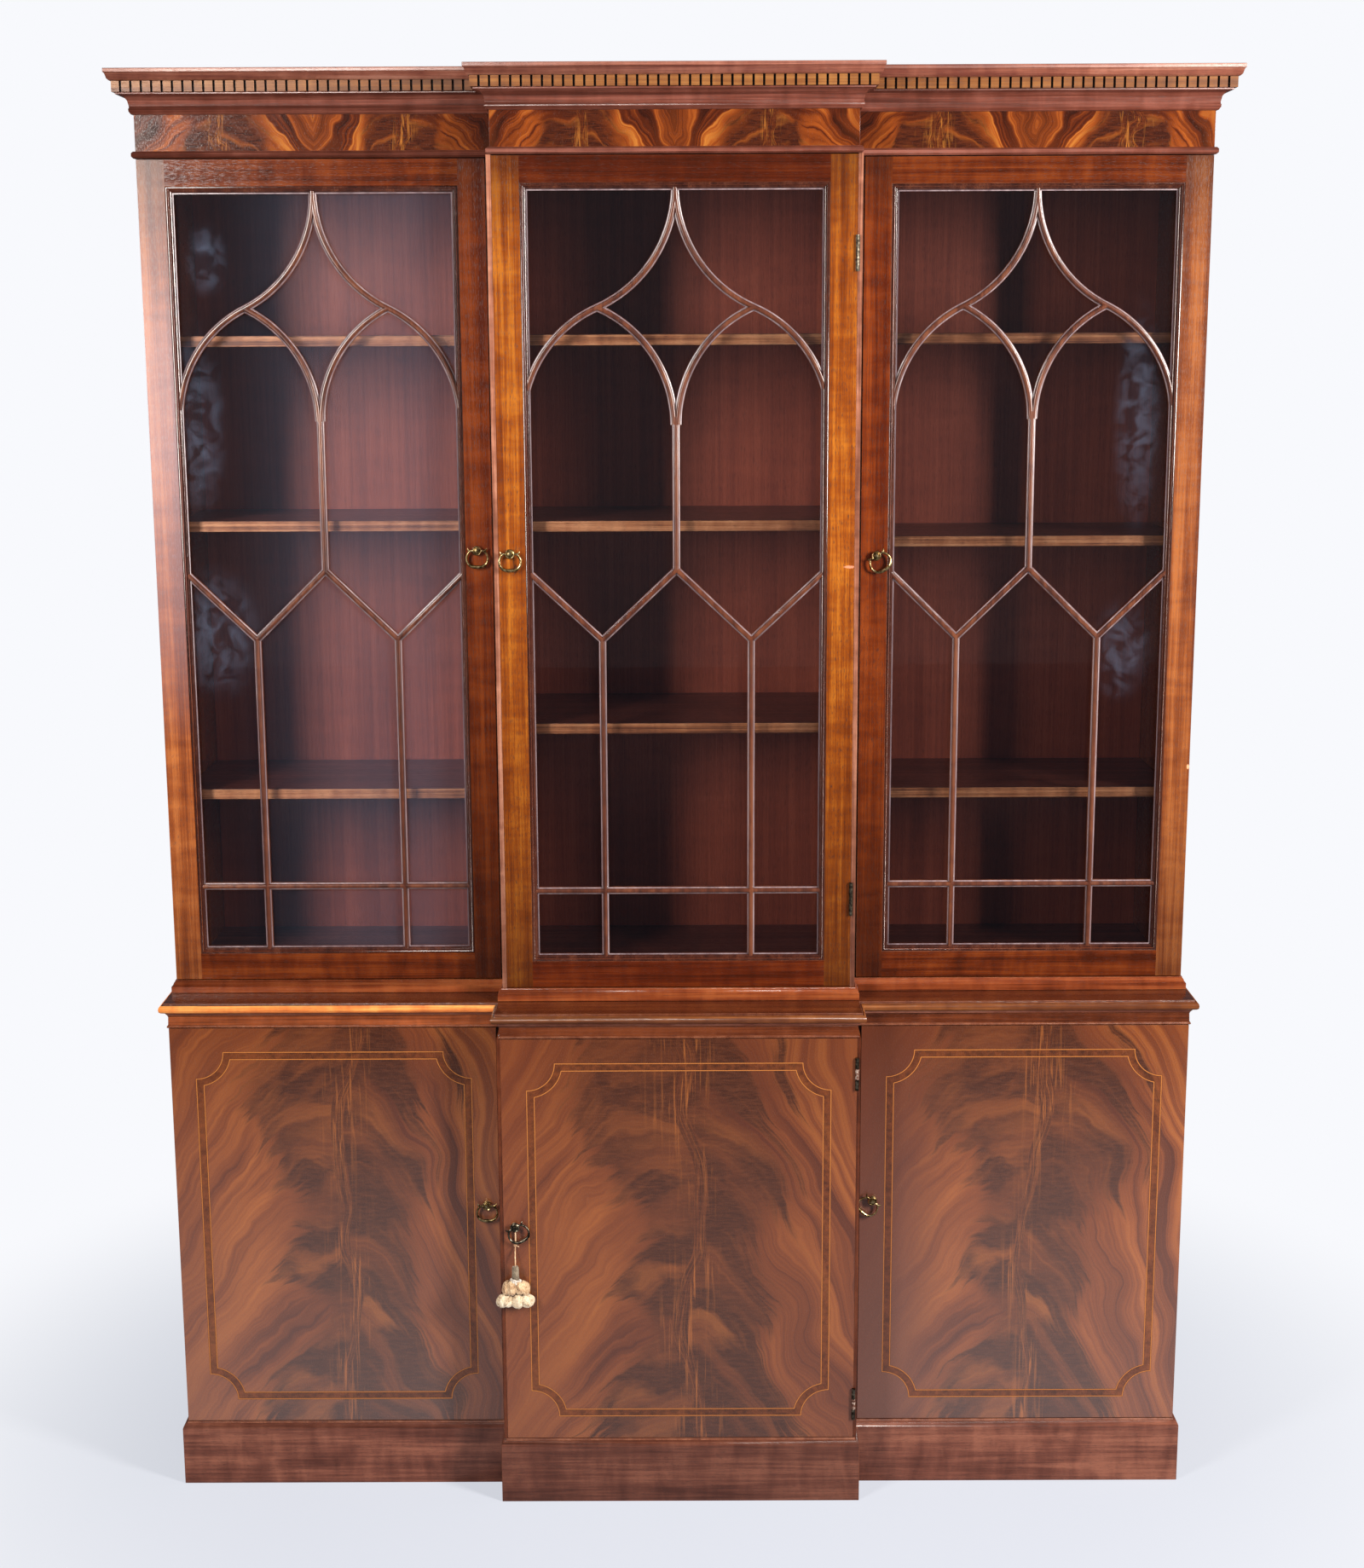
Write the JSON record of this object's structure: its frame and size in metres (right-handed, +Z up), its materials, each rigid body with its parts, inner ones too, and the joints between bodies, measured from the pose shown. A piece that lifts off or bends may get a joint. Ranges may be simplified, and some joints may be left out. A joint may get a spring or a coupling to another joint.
{
  "type": "breakfront bookcase",
  "caption": "Tall breakfront bookcase: glazed doors with gothic glazing bars over veneered cupboard doors, dentil cornice and plinth.",
  "frame": {"origin": "on the floor, under the middle of the box of the bookcase without its tassel", "axes": "+Z up, -Y out of the front, +X to the right seen from the front"},
  "size_m": [1.598, 0.4233, 2.1303],
  "materials": {
    "mahogany": "french polished",
    "dark_mahogany": "french polished",
    "flame_mahogany": "french polished veneer with boxwood stringing",
    "carved_mahogany": "polished",
    "inside_mahogany": "satin",
    "shelf_wood": "satin",
    "glass": "clear, old",
    "brass": "antique",
    "tassel_cloth": "soft"
  },
  "bodies": {
    "case": {"plinth": "dark_mahogany", "lower_side_left": "mahogany", "lower_side_right": "mahogany", "lower_partition_left": "mahogany", "lower_partition_right": "mahogany", "lower_bottom_board": "inside_mahogany", "lower_back_panel": "inside_mahogany", "lower_shelf_left": "shelf_wood", "lower_shelf_centre": "shelf_wood", "lower_shelf_right": "shelf_wood", "waist_board": "dark_mahogany", "upper_bottom_board": "dark_mahogany", "upper_side_left": "mahogany", "upper_side_right": "mahogany", "upper_partition_left": "mahogany", "upper_partition_right": "mahogany", "upper_top_board": "inside_mahogany", "upper_back_panel": "inside_mahogany", "cornice": "flame_mahogany", "dentil_course": "carved_mahogany", "upper_shelf_left_low": "shelf_wood", "upper_shelf_centre_low": "shelf_wood", "upper_shelf_right_low": "shelf_wood", "upper_shelf_left_middle": "shelf_wood", "upper_shelf_centre_middle": "shelf_wood", "upper_shelf_right_middle": "shelf_wood", "upper_shelf_left_high": "shelf_wood", "upper_shelf_centre_high": "shelf_wood", "upper_shelf_right_high": "shelf_wood"},
    "upper_left_door": {"door_frame_left": "mahogany", "tracery_left": "mahogany", "glass_left": "glass"},
    "upper_left_key": {"key_upper_left": "brass"},
    "upper_left_bail": {"bail_upper_left": "brass"},
    "upper_left_bolt": {"bolt_upper_left": "brass"},
    "upper_centre_door": {"door_frame_centre": "mahogany", "tracery_centre": "mahogany", "glass_centre": "glass"},
    "upper_centre_key": {"key_upper_centre": "brass"},
    "upper_centre_bail": {"bail_upper_centre": "brass"},
    "upper_centre_bolt": {"bolt_upper_centre": "brass"},
    "upper_right_door": {"door_frame_right": "mahogany", "tracery_right": "mahogany", "glass_right": "glass"},
    "upper_right_key": {"key_upper_right": "brass"},
    "upper_right_bail": {"bail_upper_right": "brass"},
    "upper_right_bolt": {"bolt_upper_right": "brass"},
    "lower_left_door": {"cupboard_door_left": "flame_mahogany"},
    "lower_left_key": {"key_lower_left": "brass"},
    "lower_left_bail": {"bail_lower_left": "brass"},
    "lower_left_bolt": {"bolt_lower_left": "brass"},
    "lower_centre_door": {"cupboard_door_centre": "flame_mahogany"},
    "lower_centre_key": {"key_lower_centre": "brass"},
    "lower_centre_bail": {"bail_lower_centre": "brass"},
    "lower_centre_bolt": {"bolt_lower_centre": "brass"},
    "lower_right_door": {"cupboard_door_right": "flame_mahogany"},
    "lower_right_key": {"key_lower_right": "brass"},
    "lower_right_bail": {"bail_lower_right": "brass"},
    "lower_right_bolt": {"bolt_lower_right": "brass"},
    "tassel": {"tassel": "tassel_cloth"}
  },
  "joints": [
    {"name": "upper_left_door_hinge", "type": "hinge", "parent": "case", "child": "upper_left_door", "pos_m": [-0.766, -0.05635, 0.8011], "axis": [0, 0, -1], "range_deg": [0, 170]},
    {"name": "upper_left_key_turn", "type": "hinge", "parent": "upper_left_door", "child": "upper_left_key", "pos_m": [-0.2925, -0.0785, 1.4525], "axis": [0, 1, 0], "range_deg": [0, 180]},
    {"name": "upper_left_bail_swing", "type": "hinge", "parent": "upper_left_key", "child": "upper_left_bail", "pos_m": [-0.2925, -0.085, 1.4525], "axis": [-1, 0, 0], "range_deg": [0, 110]},
    {"name": "upper_left_bolt_slide", "type": "slide", "parent": "upper_left_door", "child": "upper_left_bolt", "axis": [1, 0, 0], "range_m": [0, 0.011]},
    {"name": "upper_centre_door_hinge", "type": "hinge", "parent": "case", "child": "upper_centre_door", "pos_m": [0.25765, -0.13, 0.8011], "axis": [0, 0, 1], "range_deg": [0, 110]},
    {"name": "upper_centre_key_turn", "type": "hinge", "parent": "upper_centre_door", "child": "upper_centre_key", "pos_m": [-0.2408, -0.1285, 1.452], "axis": [0, 1, 0], "range_deg": [0, 180]},
    {"name": "upper_centre_bail_swing", "type": "hinge", "parent": "upper_centre_key", "child": "upper_centre_bail", "pos_m": [-0.2408, -0.135, 1.452], "axis": [-1, 0, 0], "range_deg": [0, 110]},
    {"name": "upper_centre_bolt_slide", "type": "slide", "parent": "upper_centre_door", "child": "upper_centre_bolt", "axis": [-1, 0, 0], "range_m": [0, 0.0035]},
    {"name": "upper_right_door_hinge", "type": "hinge", "parent": "case", "child": "upper_right_door", "pos_m": [0.766, -0.05635, 0.8011], "axis": [0, 0, 1], "range_deg": [0, 170]},
    {"name": "upper_right_key_turn", "type": "hinge", "parent": "upper_right_door", "child": "upper_right_key", "pos_m": [0.293, -0.0785, 1.4427], "axis": [0, -1, 0], "range_deg": [0, 180]},
    {"name": "upper_right_bail_swing", "type": "hinge", "parent": "upper_right_key", "child": "upper_right_bail", "pos_m": [0.293, -0.085, 1.4427], "axis": [-0.848, 0, -0.5299], "range_deg": [0, 110]},
    {"name": "upper_right_bolt_slide", "type": "slide", "parent": "upper_right_door", "child": "upper_right_bolt", "axis": [-1, 0, 0], "range_m": [0, 0.011]},
    {"name": "lower_left_door_hinge", "type": "hinge", "parent": "case", "child": "lower_left_door", "pos_m": [-0.7685, -0.11235, 0.102], "axis": [0, 0, -1], "range_deg": [0, 170]},
    {"name": "lower_left_key_turn", "type": "hinge", "parent": "lower_left_door", "child": "lower_left_key", "pos_m": [-0.2939, -0.1345, 0.4575], "axis": [0, 1, 0], "range_deg": [0, 180]},
    {"name": "lower_left_bail_swing", "type": "hinge", "parent": "lower_left_key", "child": "lower_left_bail", "pos_m": [-0.2939, -0.141, 0.4575], "axis": [-1, 0, 0], "range_deg": [0, 110]},
    {"name": "lower_left_bolt_slide", "type": "slide", "parent": "lower_left_door", "child": "lower_left_bolt", "axis": [1, 0, 0], "range_m": [0, 0.011]},
    {"name": "lower_centre_door_hinge", "type": "hinge", "parent": "case", "child": "lower_centre_door", "pos_m": [0.26485, -0.196, 0.102], "axis": [0, 0, 1], "range_deg": [0, 110]},
    {"name": "lower_centre_key_turn", "type": "hinge", "parent": "lower_centre_door", "child": "lower_centre_key", "pos_m": [-0.2473, -0.1945, 0.4467], "axis": [0, 1, 0], "range_deg": [0, 180]},
    {"name": "lower_centre_bail_swing", "type": "hinge", "parent": "lower_centre_key", "child": "lower_centre_bail", "pos_m": [-0.2473, -0.201, 0.4467], "axis": [-0.866, 0, -0.5], "range_deg": [0, 110]},
    {"name": "lower_centre_bolt_slide", "type": "slide", "parent": "lower_centre_door", "child": "lower_centre_bolt", "axis": [-1, 0, 0], "range_m": [0, 0.0035]},
    {"name": "lower_right_door_hinge", "type": "hinge", "parent": "case", "child": "lower_right_door", "pos_m": [0.7685, -0.11235, 0.102], "axis": [0, 0, 1], "range_deg": [0, 170]},
    {"name": "lower_right_key_turn", "type": "hinge", "parent": "lower_right_door", "child": "lower_right_key", "pos_m": [0.2949, -0.1345, 0.4633], "axis": [0, -1, 0], "range_deg": [0, 180]},
    {"name": "lower_right_bail_swing", "type": "hinge", "parent": "lower_right_key", "child": "lower_right_bail", "pos_m": [0.2949, -0.141, 0.4633], "axis": [-0.766, 0, 0.6428], "range_deg": [0, 110]},
    {"name": "lower_right_bolt_slide", "type": "slide", "parent": "lower_right_door", "child": "lower_right_bolt", "axis": [-1, 0, 0], "range_m": [0, 0.011]},
    {"name": "tassel_swing", "type": "hinge", "parent": "lower_centre_door", "child": "tassel", "pos_m": [-0.2473, -0.1945, 0.4467], "axis": [0, 1, 0], "range_deg": [-45, 45]}
  ],
  "couplings": [
    {"joint": "upper_left_bolt_slide", "follows": "upper_left_key_turn", "m_per_rad": 0.0035},
    {"joint": "upper_centre_bolt_slide", "follows": "upper_centre_key_turn", "m_per_rad": 0.001114},
    {"joint": "upper_right_bolt_slide", "follows": "upper_right_key_turn", "m_per_rad": 0.0035},
    {"joint": "lower_left_bolt_slide", "follows": "lower_left_key_turn", "m_per_rad": 0.0035},
    {"joint": "lower_centre_bolt_slide", "follows": "lower_centre_key_turn", "m_per_rad": 0.001114},
    {"joint": "lower_right_bolt_slide", "follows": "lower_right_key_turn", "m_per_rad": 0.0035}
  ]
}
